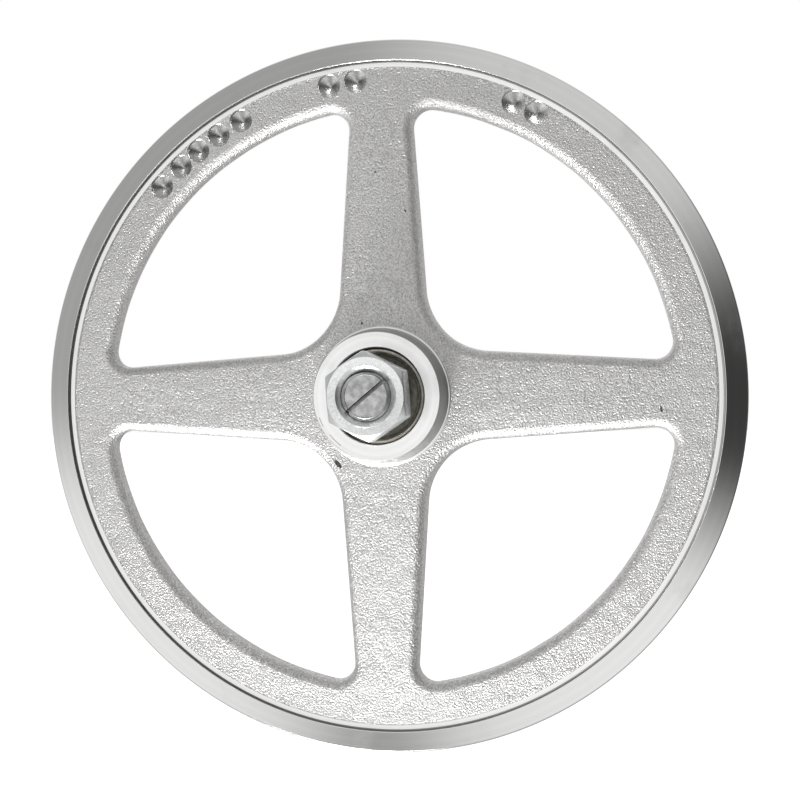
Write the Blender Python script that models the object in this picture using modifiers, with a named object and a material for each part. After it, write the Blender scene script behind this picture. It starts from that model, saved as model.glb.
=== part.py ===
"""A cast four-spoke V-belt idler pulley that turns on two ball bearings on a slotted stub shaft.

Frame: the wheel's axis is Y and the front faces -Y, +Z is up. The origin is on the axis, in the
middle plane of the rim. Lengths below are in millimetres. An axial place is a height h above that
middle plane towards the front, so the world Y of a point is -h.
"""
import math

import bmesh
import bpy
from mathutils import Matrix, Vector

MM = 0.001
MERGE = 0.00001

# Clearance left between pieces that touch on the real object.
GAP = 0.3

# Rim: two equal flanges with one V groove between them.
RIM_R = 177.8
RIM_HALF_WIDTH = 11.0
BAND_INNER_R = 167.1
BAND_FALL = 1.95
FLANGE_EDGE = 0.6
GROOVE_TOP_HALF_WIDTH = 6.4
GROOVE_DEPTH = 12.0
GROOVE_HALF_ANGLE = math.radians(19)
LAND_INNER_R = 164.4
LAND_LIP = 1.4
LAND_STEP = 2.0
STEP_SLOPE = 0.4

# Web: one flat disc between rim and hub, opened by four windows, which leaves four spokes.
WEB_FRONT_H = 9.4
WEB_BACK_H = -3.4
WEB_HUB_SWELL = 1.6
WEB_PARTING_H = 3.0
WEB_PARTING_DRAFT = 0.4
EDGE_ROUND = 4.8
CUT_CLEAR = 1.5
RIM_WALL_R = 148.0
RIM_WALL_EDGE = 2.4
RIM_WALL_FILLET = 1.6

# Windows. A spoke's side is a straight line that closes in towards the rim.
WINDOW_OUTER_R = 145.0
WINDOW_CORNER_R = 8.5
WINDOW_HUB_FILLET_R = 33.0
SPOKE_HALF_WIDTH_AT_AXIS = 25.5
SPOKE_TAPER = math.radians(3.81)
SPOKES = 4

# Balancing holes, drilled into the front of the web ring: angles from +X towards +Z.
BALANCE_ANGLES = (60.3, 64.8, 94.3, 99.3, 117.0, 122.0, 126.8, 131.2, 136.4)
BALANCE_R = 158.2
BALANCE_HOLE_R = 5.9
BALANCE_WALL_DEPTH = 2.7
DRILL_POINT_HALF_ANGLE = math.radians(59)

# Hub, with a bearing pocket from each side and a ridge between them.
BOSS_R = 31.75
BOSS_FOOT_R = 34.6
BOSS_FOOT_RING = 0.7
BOSS_FOOT_STEP = 0.4
BOSS_FRONT_H = 23.8
BOSS_BACK_H = -22.0
BOSS_EDGE = 0.5
POCKET_MOUTH_R = 24.3
RIDGE_R = 21.4

# Ball bearings, 25 x 47 x 12 mm, each set 3 mm below its hub face.
BEARING_BORE_R = 12.5
BEARING_R = 23.5
BEARING_HALF_WIDTH = 6.0
BEARING_RECESS = 3.0
BALL_R = 3.5
BALL_PITCH_R = 18.0
BALLS = 10
RACE_R = BALL_R + GAP
INNER_SHOULDER_R = 15.6
OUTER_SHOULDER_R = 20.4
SEAL_SEAT_R = 22.0
SEAL_SEAT_H = 4.3
SEAL_BACK_H = 4.6
SEAL_FACE_H = 5.5
SEAL_LIP_DROP = 0.4
SEAL_LIP_WIDTH = 1.2
CAGE_INNER_R = 16.7
CAGE_OUTER_R = 19.3
CAGE_BASE_H = -4.25
CAGE_TIP_H = 1.2
RING_EDGE = 0.5

# Stub shaft.
THREAD_R = 11.9
JOURNAL_R = 12.2
SHAFT_END_H = 47.8
SHAFT_END_R = 10.15
THREAD_END_H = 21.5
THREAD_END_CHAMFER = 0.4
SHOULDER_R = 16.0
FLANGE_R = 22.0
FLANGE_FRONT_H = -24.0
FLANGE_BACK_H = -30.0
FLANGE_ACROSS_FLATS = 38.0
STUD_END_H = -48.0
SLOT_WIDTH = 1.9
SLOT_DEPTH = 3.6
SLOT_ANGLE = math.radians(39.4)

# Jam nut, lock washer and sleeve, which clamp the inner rings.
NUT_ACROSS_FLATS = 38.1
NUT_THICKNESS = 13.9
NUT_FRONT_H = 48.0
NUT_TURN = math.radians(3.9)
NUT_CHAMFER_R = 18.6
NUT_CHAMFER_ANGLE = math.radians(30)
NUT_COUNTERSINK_R = 14.8
LOCK_WASHER_THICKNESS = 3.9
LOCK_WASHER_R = 17.5
LOCK_WASHER_SPLIT = 2.0
SLEEVE_R = 16.0

# How finely round shapes are cut.
RIM_STEPS = 60
HUB_STEPS = 32
SMALL_STEPS = 20

FRONT_BEARING_H = BOSS_FRONT_H - BEARING_RECESS - BEARING_HALF_WIDTH
REAR_BEARING_H = BOSS_BACK_H + BEARING_RECESS + BEARING_HALF_WIDTH

COLOURS = {
    "cast_alloy": ((0.52, 0.52, 0.50), 0.55, 0.85),
    "bearing_steel": ((0.55, 0.55, 0.54), 0.22, 1.0),
    "turned_steel": ((0.48, 0.48, 0.47), 0.30, 1.0),
    "plated_steel": ((0.66, 0.66, 0.65), 0.24, 1.0),
    "seal_rubber": ((0.05, 0.05, 0.04), 0.60, 0.0),
    "cage_nylon": ((0.42, 0.38, 0.28), 0.50, 0.0),
}


def clear_scene():
    """Remove every object, so that a second run starts clean."""
    for obj in list(bpy.data.objects):
        bpy.data.objects.remove(obj, do_unlink=True)


def make_collection(name):
    """Make a collection in the scene."""
    collection = bpy.data.collections.new(name)
    bpy.context.scene.collection.children.link(collection)
    return collection


def make_material(name):
    """Make one material from its colour, roughness and metallic value."""
    colour, roughness, metallic = COLOURS[name]
    material = bpy.data.materials.new(name)
    material.use_nodes = True
    shader = material.node_tree.nodes["Principled BSDF"]
    shader.inputs["Base Color"].default_value = (*colour, 1.0)
    shader.inputs["Roughness"].default_value = roughness
    shader.inputs["Metallic"].default_value = metallic
    return material


def place(obj, collection, height=0.0, turn=0.0):
    """Lay an object that was built along +Z on the wheel's axis, its top to the front."""
    obj.rotation_euler = (math.radians(90), -turn, 0.0)
    obj.location = (0.0, -height * MM, 0.0)
    collection.objects.link(obj)
    return obj


def mesh_object(name, mesh, material=None):
    """Make an object of a mesh, shaded smooth with its sharp corners kept."""
    obj = bpy.data.objects.new(name, mesh)
    if material:
        mesh.materials.append(material)
    if mesh.polygons:
        mesh.shade_smooth()
        mesh.set_sharp_from_angle(angle=math.radians(35))
    return obj


def turned(name, profile, steps, material=None):
    """Turn a closed profile of (radius, height) points, which runs down its outer side first."""
    mesh = bpy.data.meshes.new(name)
    points = [(radius * MM, 0.0, height * MM) for radius, height in profile]
    edges = [(i, (i + 1) % len(points)) for i in range(len(points))]
    mesh.from_pydata(points, edges, [])
    obj = mesh_object(name, mesh, material)
    screw = obj.modifiers.new("turn", "SCREW")
    screw.axis = "Z"
    screw.angle = math.tau
    screw.steps = steps
    screw.render_steps = steps
    screw.use_merge_vertices = True
    screw.merge_threshold = MERGE
    return obj


def boolean(obj, cutter, operation="DIFFERENCE"):
    """Cut an object with another one, or keep only what both hold."""
    modifier = obj.modifiers.new(cutter.name, "BOOLEAN")
    modifier.operation = operation
    modifier.solver = "EXACT"
    modifier.object = cutter
    cutter.hide_render = True
    cutter.display_type = "WIRE"


def arc(centre, radius, start, end, count):
    """Points on an arc from one angle to another, both ends included."""
    step = (end - start) / count
    angles = [start + step * i for i in range(count + 1)]
    return [(centre[0] + radius * math.cos(a), centre[1] + radius * math.sin(a)) for a in angles]


def window_outline(grow):
    """Outline of the window between +X and +Z, moved out into the metal by grow."""
    quarter = math.radians(90)
    normal = Vector((math.sin(SPOKE_TAPER), math.cos(SPOKE_TAPER)))
    along = Vector((math.cos(SPOKE_TAPER), -math.sin(SPOKE_TAPER)))
    side = SPOKE_HALF_WIDTH_AT_AXIS * math.cos(SPOKE_TAPER)
    across = side + WINDOW_CORNER_R
    reach = math.sqrt((WINDOW_OUTER_R - WINDOW_CORNER_R) ** 2 - across**2)
    corner = normal * across + along * reach
    mirrored = Vector((corner.y, corner.x))
    corner_angle = math.atan2(corner.y, corner.x)
    side_angle = math.atan2(-normal.y, -normal.x)
    hub = (side + WINDOW_HUB_FILLET_R) / math.cos(quarter / 2 - SPOKE_TAPER)
    diagonal = (hub * math.cos(quarter / 2), hub * math.sin(quarter / 2))
    outer = arc((0, 0), WINDOW_OUTER_R + grow, quarter - corner_angle, corner_angle, 10)
    outline = outer[1:-1]
    outline += arc(corner, WINDOW_CORNER_R + grow, corner_angle, side_angle, 4)
    outline += arc(diagonal, WINDOW_HUB_FILLET_R + grow, side_angle, -3 * quarter - side_angle, 6)
    outline += arc(mirrored, WINDOW_CORNER_R + grow, quarter - side_angle, quarter - corner_angle, 4)
    return outline


def swell(radius):
    """How far the web's faces stand out at a radius: nothing at the rim, most at the hub."""
    share = (RIM_WALL_R - radius) / (RIM_WALL_R - BOSS_FOOT_R)
    return WEB_HUB_SWELL * min(1.0, max(0.0, share))


def window_sections():
    """Height, growth and swell sign down a window: rounded edges either side of the parting line."""
    def edge(face_h, sign):
        sections = []
        for degrees in (0, 40, 68, 90):
            angle = math.radians(degrees)
            grow = WEB_PARTING_DRAFT + EDGE_ROUND * (1 - math.cos(angle))
            sections.append((face_h - sign * EDGE_ROUND * (1 - math.sin(angle)), grow, sign))
        sections.append((face_h + sign * (WEB_HUB_SWELL + CUT_CLEAR), grow + CUT_CLEAR, 0))
        return sections

    return edge(WEB_FRONT_H, 1)[::-1] + [(WEB_PARTING_H, 0.0, 0)] + edge(WEB_BACK_H, -1)


def window_cutters(collection):
    """One mesh of four closed window shapes, a quarter turn apart."""
    mesh = bpy.data.meshes.new("window_cutters")
    bm = bmesh.new()
    for k in range(SPOKES):
        turn = Matrix.Rotation(math.tau * k / SPOKES, 4, "Z")
        rings = []
        for height, grow, sign in window_sections():
            ring = []
            for x, y in window_outline(grow):
                own_height = height + sign * swell(math.hypot(x, y))
                ring.append(bm.verts.new(turn @ Vector((x, y, own_height)) * MM))
            rings.append(ring)
        for upper, lower in zip(rings, rings[1:]):
            for i in range(len(upper)):
                j = (i + 1) % len(upper)
                bm.faces.new((upper[i], upper[j], lower[j], lower[i]))
        bm.faces.new(rings[0][::-1])
        bm.faces.new(rings[-1])
    bmesh.ops.recalc_face_normals(bm, faces=bm.faces)
    bm.to_mesh(mesh)
    bm.free()
    return place(mesh_object("window_cutters", mesh), collection)


def balance_drills(collection):
    """One mesh of the drill shapes that make the balancing holes: a short wall, then a point."""
    mesh = bpy.data.meshes.new("balance_drills")
    bm = bmesh.new()
    point = BALANCE_HOLE_R / math.tan(DRILL_POINT_HALF_ANGLE)
    wall = BALANCE_WALL_DEPTH + CUT_CLEAR
    for degrees in BALANCE_ANGLES:
        angle = math.radians(degrees)
        spot = Vector((BALANCE_R * math.cos(angle), BALANCE_R * math.sin(angle), 0.0))
        base = WEB_FRONT_H - BALANCE_WALL_DEPTH
        tip = bmesh.ops.create_cone(
            bm, cap_ends=True, segments=20, radius1=0.0, radius2=BALANCE_HOLE_R, depth=point,
            matrix=Matrix.Translation(spot + Vector((0, 0, base - point / 2))))
        caps = [f for f in {f for v in tip["verts"] for f in v.link_faces} if f.normal.z > 0.99]
        raised = bmesh.ops.extrude_face_region(bm, geom=caps)
        top = [v for v in raised["geom"] if isinstance(v, bmesh.types.BMVert)]
        bmesh.ops.translate(bm, verts=top, vec=(0, 0, wall))
        bmesh.ops.delete(bm, geom=caps, context="FACES_ONLY")
    bmesh.ops.remove_doubles(bm, verts=bm.verts, dist=0.01)
    bmesh.ops.scale(bm, verts=bm.verts, vec=(MM, MM, MM))
    bmesh.ops.recalc_face_normals(bm, faces=bm.faces)
    bm.to_mesh(mesh)
    bm.free()
    return place(mesh_object("balance_drills", mesh), collection)


def casting_profile():
    """Section of the whole casting: rim with its groove, web and hub with its two pockets."""
    groove_in = GROOVE_DEPTH * math.tan(GROOVE_HALF_ANGLE)
    groove_r = RIM_R - GROOVE_DEPTH
    groove_floor = GROOVE_TOP_HALF_WIDTH - groove_in
    band_outer_h = RIM_HALF_WIDTH - BAND_FALL
    land_h = RIM_HALF_WIDTH - LAND_STEP
    pocket_r = BEARING_R + GAP
    mouth = POCKET_MOUTH_R - pocket_r
    ridge_front_h = FRONT_BEARING_H - BEARING_HALF_WIDTH - GAP
    ridge_back_h = REAR_BEARING_H + BEARING_HALF_WIDTH + GAP
    front_hub_h = WEB_FRONT_H + WEB_HUB_SWELL
    back_hub_h = WEB_BACK_H - WEB_HUB_SWELL
    front = [
        (POCKET_MOUTH_R, BOSS_FRONT_H),
        (BOSS_R - BOSS_EDGE, BOSS_FRONT_H),
        (BOSS_R, BOSS_FRONT_H - BOSS_EDGE),
        (BOSS_FOOT_R - BOSS_FOOT_RING, front_hub_h + BOSS_FOOT_STEP),
        (BOSS_FOOT_R, front_hub_h + BOSS_FOOT_STEP),
        (BOSS_FOOT_R + BOSS_FOOT_STEP, front_hub_h),
        (RIM_WALL_R, WEB_FRONT_H),
        (LAND_INNER_R - LAND_LIP, WEB_FRONT_H),
        (LAND_INNER_R, land_h),
        (BAND_INNER_R - STEP_SLOPE, land_h),
        (BAND_INNER_R, RIM_HALF_WIDTH),
        (RIM_R - FLANGE_EDGE, band_outer_h),
        (RIM_R, band_outer_h - FLANGE_EDGE),
        (RIM_R, GROOVE_TOP_HALF_WIDTH),
        (groove_r, groove_floor),
    ]
    back = [
        (groove_r, -groove_floor),
        (RIM_R, -GROOVE_TOP_HALF_WIDTH),
        (RIM_R, FLANGE_EDGE - band_outer_h),
        (RIM_R - FLANGE_EDGE, -band_outer_h),
        (BAND_INNER_R, -RIM_HALF_WIDTH),
        (BAND_INNER_R - STEP_SLOPE, -land_h),
        (RIM_WALL_R + RIM_WALL_EDGE, -land_h),
        (RIM_WALL_R, RIM_WALL_EDGE - land_h),
        (RIM_WALL_R, WEB_BACK_H - RIM_WALL_FILLET),
        (RIM_WALL_R - RIM_WALL_FILLET, WEB_BACK_H),
        (BOSS_FOOT_R, back_hub_h),
        (BOSS_R, back_hub_h + BOSS_R - BOSS_FOOT_R),
        (BOSS_R, BOSS_BACK_H + BOSS_EDGE),
        (BOSS_R - BOSS_EDGE, BOSS_BACK_H),
        (POCKET_MOUTH_R, BOSS_BACK_H),
        (pocket_r, BOSS_BACK_H + mouth),
        (pocket_r, ridge_back_h),
        (RIDGE_R, ridge_back_h),
        (RIDGE_R, ridge_front_h),
        (pocket_r, ridge_front_h),
        (pocket_r, BOSS_FRONT_H - mouth),
    ]
    return front + back


def make_casting(parts, cutters, materials):
    """The wheel: turned section, then its windows and balancing holes."""
    casting = turned("wheel_casting", casting_profile(), RIM_STEPS, materials["cast_alloy"])
    place(casting, parts)
    boolean(casting, window_cutters(cutters))
    boolean(casting, balance_drills(cutters))


def race_groove(shoulder_r, count=4):
    """Points of a ball groove's arc, from its front lip to its rear lip."""
    half = math.acos((shoulder_r - BALL_PITCH_R) / RACE_R)
    points = []
    for i in range(count + 1):
        angle = half - 2 * half * i / count
        if shoulder_r < BALL_PITCH_R:
            angle = half + 2 * (math.pi - half) * i / count
        points.append((BALL_PITCH_R + RACE_R * math.cos(angle), RACE_R * math.sin(angle)))
    return points


def outer_ring_profile():
    """Outer bearing ring: seal seats at both ends and the ball groove inside."""
    half = BEARING_HALF_WIDTH
    groove = race_groove(OUTER_SHOULDER_R)[::-1]
    return [
        (BEARING_R - RING_EDGE, half), (BEARING_R, half - RING_EDGE),
        (BEARING_R, RING_EDGE - half), (BEARING_R - RING_EDGE, -half),
        (SEAL_SEAT_R, -half), (SEAL_SEAT_R, -SEAL_SEAT_H), (OUTER_SHOULDER_R, -SEAL_SEAT_H),
        *groove,
        (OUTER_SHOULDER_R, SEAL_SEAT_H), (SEAL_SEAT_R, SEAL_SEAT_H), (SEAL_SEAT_R, half),
    ]


def inner_ring_profile():
    """Inner bearing ring: a plain bore and the ball groove outside."""
    half = BEARING_HALF_WIDTH
    return [
        (INNER_SHOULDER_R, half), *race_groove(INNER_SHOULDER_R), (INNER_SHOULDER_R, -half),
        (BEARING_BORE_R + RING_EDGE, -half), (BEARING_BORE_R, RING_EDGE - half),
        (BEARING_BORE_R, half - RING_EDGE), (BEARING_BORE_R + RING_EDGE, half),
    ]


def seal_profile(sign):
    """Rubber seal with a raised lip near the shaft, on the front (sign 1) or rear face (-1)."""
    inner = INNER_SHOULDER_R + GAP
    outer = SEAL_SEAT_R - GAP
    profile = [
        (outer, SEAL_FACE_H), (outer, SEAL_BACK_H), (inner, SEAL_BACK_H),
        (inner, SEAL_FACE_H - SEAL_LIP_DROP), (inner + SEAL_LIP_WIDTH, SEAL_FACE_H),
    ]
    if sign < 0:
        profile = [(radius, -height) for radius, height in profile[::-1]]
    return profile


def make_cage(name, height, parts, cutters, materials):
    """A one-piece snap-in cage, open at its front, with a round pocket for each ball."""
    profile = [(CAGE_OUTER_R, CAGE_TIP_H), (CAGE_OUTER_R, CAGE_BASE_H),
               (CAGE_INNER_R, CAGE_BASE_H), (CAGE_INNER_R, CAGE_TIP_H)]
    cage = turned(name, profile, SMALL_STEPS, materials["cage_nylon"])
    place(cage, parts, height)
    mesh = bpy.data.meshes.new(name + "_pockets")
    bm = bmesh.new()
    for k in range(BALLS):
        spot = Matrix.Rotation(math.tau * k / BALLS, 4, "Z") @ Vector((BALL_PITCH_R * MM, 0, 0))
        bmesh.ops.create_icosphere(bm, subdivisions=2, radius=RACE_R * MM, matrix=Matrix.Translation(spot))
    bm.to_mesh(mesh)
    bm.free()
    boolean(cage, place(mesh_object(name + "_pockets", mesh), cutters, height))


def make_balls(prefix, height, parts, materials):
    """The balls of one bearing: one shared mesh, one object each."""
    mesh = bpy.data.meshes.new(prefix + "_ball")
    bm = bmesh.new()
    bmesh.ops.create_icosphere(bm, subdivisions=2, radius=BALL_R * MM)
    bm.to_mesh(mesh)
    bm.free()
    mesh.materials.append(materials["bearing_steel"])
    mesh.shade_smooth()
    for k in range(BALLS):
        angle = math.tau * k / BALLS
        ball = bpy.data.objects.new(f"{prefix}_ball_{k + 1:02d}", mesh)
        ball.location = (BALL_PITCH_R * MM * math.cos(angle), -height * MM,
                         BALL_PITCH_R * MM * math.sin(angle))
        parts.objects.link(ball)


def make_bearing(prefix, height, parts, cutters, materials):
    """One deep-groove ball bearing with a seal on each side."""
    steel = materials["bearing_steel"]
    rubber = materials["seal_rubber"]
    place(turned(prefix + "_bearing_outer_ring", outer_ring_profile(), HUB_STEPS, steel), parts, height)
    place(turned(prefix + "_bearing_inner_ring", inner_ring_profile(), HUB_STEPS, steel), parts, height)
    for side, sign in (("outboard", 1), ("inboard", -1)):
        facing = sign if prefix == "front" else -sign
        seal = turned(f"{prefix}_{side}_seal", seal_profile(facing), HUB_STEPS, rubber)
        place(seal, parts, height)
    make_cage(prefix + "_ball_cage", height, parts, cutters, materials)
    make_balls(prefix, height, parts, materials)


def tube(name, outer_r, inner_r, top, bottom, parts, material, edge=RING_EDGE):
    """A plain ring or sleeve with small chamfers on its outer corners."""
    profile = [(outer_r - edge, top), (outer_r, top - edge), (outer_r, bottom + edge),
               (outer_r - edge, bottom), (inner_r, bottom), (inner_r, top)]
    return place(turned(name, profile, HUB_STEPS, material), parts)


def make_lock_washer(parts, cutters, materials):
    """Spring washer with one slanting split."""
    top = NUT_FRONT_H - NUT_THICKNESS - GAP
    bottom = top - LOCK_WASHER_THICKNESS
    washer = tube("lock_washer", LOCK_WASHER_R, BEARING_BORE_R, top, bottom, parts,
                  materials["plated_steel"])
    mesh = bpy.data.meshes.new("lock_washer_split")
    bm = bmesh.new()
    size = Matrix.Diagonal((LOCK_WASHER_R * MM, LOCK_WASHER_SPLIT * MM, 4 * LOCK_WASHER_THICKNESS * MM, 1))
    slant = Matrix.Rotation(math.radians(25), 4, "X")
    middle = Matrix.Translation((LOCK_WASHER_R * MM, 0, (top + bottom) / 2 * MM))
    bmesh.ops.create_cube(bm, size=1.0, matrix=middle @ slant @ size)
    bm.to_mesh(mesh)
    bm.free()
    boolean(washer, place(mesh_object("lock_washer_split", mesh), cutters))


def make_nut(parts, cutters, materials):
    """The hexagon jam nut, with chamfered corners and a countersunk thread at both ends."""
    back_h = NUT_FRONT_H - NUT_THICKNESS
    corner_r = NUT_ACROSS_FLATS / 2 / math.cos(math.radians(30))
    mesh = bpy.data.meshes.new("jam_nut")
    bm = bmesh.new()
    middle = Matrix.Translation((0, 0, (NUT_FRONT_H + back_h) / 2 * MM))
    bmesh.ops.create_cone(bm, cap_ends=True, segments=6, radius1=corner_r * MM, radius2=corner_r * MM,
                          depth=NUT_THICKNESS * MM, matrix=middle)
    bm.to_mesh(mesh)
    bm.free()
    nut = place(mesh_object("jam_nut", mesh, materials["plated_steel"]), parts, turn=NUT_TURN)
    bore_r = THREAD_R + GAP
    sink = NUT_COUNTERSINK_R - bore_r
    outside_r = corner_r + CUT_CLEAR
    chamfer = (outside_r - NUT_CHAMFER_R) * math.tan(NUT_CHAMFER_ANGLE)
    envelope = turned("jam_nut_envelope", [
        (NUT_CHAMFER_R, NUT_FRONT_H), (outside_r, NUT_FRONT_H - chamfer), (outside_r, back_h + chamfer),
        (NUT_CHAMFER_R, back_h), (NUT_COUNTERSINK_R, back_h), (bore_r, back_h + sink),
        (bore_r, NUT_FRONT_H - sink), (NUT_COUNTERSINK_R, NUT_FRONT_H),
    ], HUB_STEPS)
    boolean(nut, place(envelope, cutters), "INTERSECT")


def make_shaft(parts, cutters, materials):
    """Stub shaft: slotted threaded end, bearing journal, shoulder, mounting flange and stud."""
    end_chamfer = THREAD_R - SHAFT_END_R
    shoulder_h = REAR_BEARING_H - BEARING_HALF_WIDTH - GAP
    profile = [
        (0.0, SHAFT_END_H), (SHAFT_END_R, SHAFT_END_H), (THREAD_R, SHAFT_END_H - end_chamfer),
        (THREAD_R, THREAD_END_H), (JOURNAL_R, THREAD_END_H - THREAD_END_CHAMFER), (JOURNAL_R, shoulder_h),
        (SHOULDER_R, shoulder_h), (SHOULDER_R, FLANGE_FRONT_H),
        (FLANGE_R - RING_EDGE, FLANGE_FRONT_H), (FLANGE_R, FLANGE_FRONT_H - RING_EDGE),
        (FLANGE_R, FLANGE_BACK_H + RING_EDGE), (FLANGE_R - RING_EDGE, FLANGE_BACK_H),
        (THREAD_R, FLANGE_BACK_H), (THREAD_R, STUD_END_H + end_chamfer),
        (SHAFT_END_R, STUD_END_H), (0.0, STUD_END_H),
    ]
    shaft = turned("stub_shaft", profile, HUB_STEPS, materials["turned_steel"])
    place(shaft, parts)
    boolean(shaft, slot_cutter(cutters))
    boolean(shaft, flat_cutters(cutters))


def slot_cutter(cutters):
    """Box across the shaft's front end for the screwdriver slot."""
    mesh = bpy.data.meshes.new("slot_cutter")
    bm = bmesh.new()
    size = Matrix.Diagonal((4 * THREAD_R * MM, SLOT_WIDTH * MM, 2 * SLOT_DEPTH * MM, 1))
    spot = Matrix.Translation((0, 0, SHAFT_END_H * MM))
    bmesh.ops.create_cube(bm, size=1.0, matrix=spot @ size)
    bm.to_mesh(mesh)
    bm.free()
    return place(mesh_object("slot_cutter", mesh), cutters, turn=SLOT_ANGLE)


def flat_cutters(cutters):
    """Two boxes that leave wrench flats on the mounting flange."""
    mesh = bpy.data.meshes.new("flat_cutters")
    bm = bmesh.new()
    thickness = FLANGE_FRONT_H - FLANGE_BACK_H
    depth = FLANGE_R - FLANGE_ACROSS_FLATS / 2
    for side in (-1, 1):
        middle = side * (FLANGE_ACROSS_FLATS / 2 + depth)
        spot = Matrix.Translation((middle * MM, 0, (FLANGE_FRONT_H + FLANGE_BACK_H) / 2 * MM))
        size = Matrix.Diagonal((2 * depth * MM, 3 * FLANGE_R * MM, 1.5 * thickness * MM, 1))
        bmesh.ops.create_cube(bm, size=1.0, matrix=spot @ size)
    bm.to_mesh(mesh)
    bm.free()
    return place(mesh_object("flat_cutters", mesh), cutters)


def make_fasteners(parts, cutters, materials):
    """Nut, washer, sleeve and spacer along the shaft, from the front to the rear."""
    steel = materials["turned_steel"]
    make_nut(parts, cutters, materials)
    make_lock_washer(parts, cutters, materials)
    sleeve_top = NUT_FRONT_H - NUT_THICKNESS - 2 * GAP - LOCK_WASHER_THICKNESS
    sleeve_bottom = FRONT_BEARING_H + BEARING_HALF_WIDTH + GAP
    tube("clamping_sleeve", SLEEVE_R, BEARING_BORE_R, sleeve_top, sleeve_bottom, parts, steel)
    spacer_top = FRONT_BEARING_H - BEARING_HALF_WIDTH - GAP
    spacer_bottom = REAR_BEARING_H + BEARING_HALF_WIDTH + GAP
    tube("bearing_spacer", INNER_SHOULDER_R, BEARING_BORE_R, spacer_top, spacer_bottom, parts, steel)


def main():
    clear_scene()
    parts = make_collection("v_belt_pulley")
    cutters = make_collection("cutters")
    materials = {name: make_material(name) for name in COLOURS}
    make_casting(parts, cutters, materials)
    make_bearing("front", FRONT_BEARING_H, parts, cutters, materials)
    make_bearing("rear", REAR_BEARING_H, parts, cutters, materials)
    make_shaft(parts, cutters, materials)
    make_fasteners(parts, cutters, materials)


main()
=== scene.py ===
"""Looks of a cast four-spoke V-belt idler pulley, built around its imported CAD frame.

The wheel's axis is Y and its front faces -Y. Sizes are in millimetres unless a comment says metres.
An axial place is a height h above the rim's middle plane towards the front, so the world Y is -h.
"""
import math

import bmesh
import bpy
from mathutils import Matrix, Vector, noise


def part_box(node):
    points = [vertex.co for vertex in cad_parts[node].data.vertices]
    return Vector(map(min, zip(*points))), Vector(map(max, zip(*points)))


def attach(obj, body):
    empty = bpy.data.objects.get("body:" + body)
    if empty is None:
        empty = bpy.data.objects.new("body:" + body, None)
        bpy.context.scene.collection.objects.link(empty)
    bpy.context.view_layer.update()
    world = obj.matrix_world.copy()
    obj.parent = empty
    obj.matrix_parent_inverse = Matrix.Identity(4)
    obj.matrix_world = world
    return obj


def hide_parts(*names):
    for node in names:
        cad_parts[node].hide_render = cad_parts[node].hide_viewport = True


MM = 0.001
QUARTER = math.pi / 2

# How finely round shapes are cut.
RIM_STEPS = 256
RING_STEPS = 160
SHAFT_STEPS = 144
NUT_STEPS = 360
HOLE_STEPS = 48
OUTER_STEPS = 48
CORNER_STEPS = 14
HUB_STEPS = 26
BALL_SUBDIVISIONS = 4
ARC_STEP = math.radians(14)

# A corner that turns less than this stays sharp, and a fillet takes at most this share of a side.
SHARP_TURN = math.radians(3)
FILLET_SHARE = 0.45

# Distances in metres under which points are joined, and slivers left by a cut are removed.
JOIN_DISTANCE = 1e-7
SLIVER_DISTANCE = 2e-6


def node_size(name):
    """Outer radius, front height and back height of a CAD node, in millimetres."""
    low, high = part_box(name)
    return high.z / MM, -low.y / MM, -high.y / MM


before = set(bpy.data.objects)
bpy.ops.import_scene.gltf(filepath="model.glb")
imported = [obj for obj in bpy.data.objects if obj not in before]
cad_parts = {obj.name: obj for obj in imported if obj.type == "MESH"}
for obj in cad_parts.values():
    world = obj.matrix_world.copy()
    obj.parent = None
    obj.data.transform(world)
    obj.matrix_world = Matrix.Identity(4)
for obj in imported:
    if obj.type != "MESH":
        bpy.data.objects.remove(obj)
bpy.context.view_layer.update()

RIM_R = node_size("wheel_casting")[0]
BOSS_FRONT_H = node_size("wheel_casting")[1]
BOSS_BACK_H = node_size("wheel_casting")[2]
BEARING_R = node_size("front_bearing_outer_ring")[0]
FRONT_BEARING_H = sum(node_size("front_bearing_outer_ring")[1:]) / 2
REAR_BEARING_H = sum(node_size("rear_bearing_outer_ring")[1:]) / 2
SHAFT_FRONT_H = node_size("stub_shaft")[1]
SHAFT_BACK_H = node_size("stub_shaft")[2]
NUT_FRONT_H, NUT_BACK_H = node_size("jam_nut")[1:]

# Clearance left between pieces that touch on the real object.
GAP = 0.3

# Rim and web of the casting.
RIM_HALF_WIDTH = 11.0
RIM_EDGE = 0.6
BAND_INNER_R = 167.1
BAND_OUTER_H = 9.05
BAND_WALL_DRAFT = 0.1
GROOVE_HALF_WIDTH = 6.4
GROOVE_FLOOR_R = RIM_R - 12.0
GROOVE_FLOOR_HALF_WIDTH = 2.27
LAND_H = 9.0
LAND_R = 166.3
LAND_LIP = 1.1
LAND_GROOVE_DEPTH = 1.0
WEB_FRONT_H = 9.4
WEB_BACK_H = -3.4
WEB_SWELL = 1.6
WEB_EDGE_R = 163.0
PARTING_H = 3.0
PARTING_DRAFT = 0.4
EDGE_ROUND = 4.8
RIM_WALL_R = 148.0
RIM_WALL_TOP = 2.4
RIM_WALL_FOOT = 0.4

# Windows.
WINDOW_OUTER_R = 145.0
WINDOW_CORNER_R = 8.5
WINDOW_HUB_FILLET_R = 33.0
SPOKE_HALF_WIDTH_AT_AXIS = 25.5
SPOKE_TAPER = math.radians(3.81)
WINDOW_WAVER = 0.22
WINDOW_WAVER_LENGTH = 17.0

# The window cutter: its sections down each rounded edge, and how it opens out past the face.
EDGE_SECTIONS = 9
CUT_FLARE = 3.0
CUT_FLARE_H = 0.5
CUT_CLEAR = 1.5

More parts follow.
